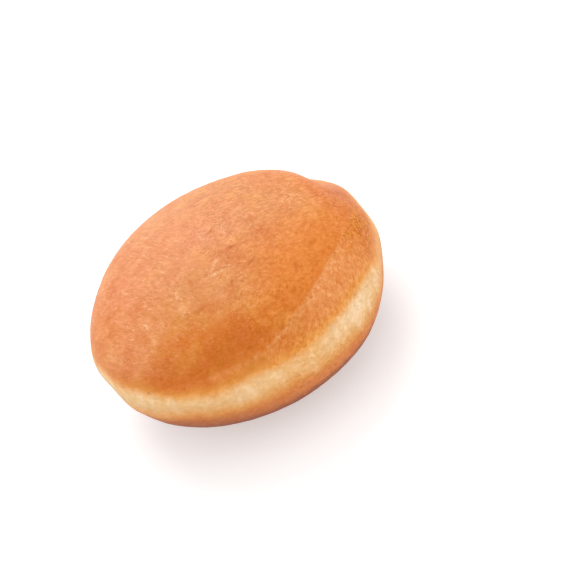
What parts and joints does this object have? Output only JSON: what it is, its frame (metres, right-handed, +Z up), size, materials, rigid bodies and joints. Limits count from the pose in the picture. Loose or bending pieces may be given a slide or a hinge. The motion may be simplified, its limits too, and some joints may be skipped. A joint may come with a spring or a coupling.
{
  "type": "doughnut",
  "caption": "Plain round fried doughnut without a hole: a low domed crust above and below a pale band round its side, resting on a small flat spot.",
  "frame": {"origin": "centre of the flat spot on the underside, which is the bottom centre of the bounding box", "axes": "+Z up through the middle of the crown, the short way through the doughnut; -Y is the side that the picture shows"},
  "size_m": [0.09, 0.0894, 0.0462],
  "materials": {
    "crust": "fried dough, satin, golden brown with a pale band round the side"
  },
  "bodies": {
    "root": {"doughnut": "crust"}
  },
  "joints": []
}
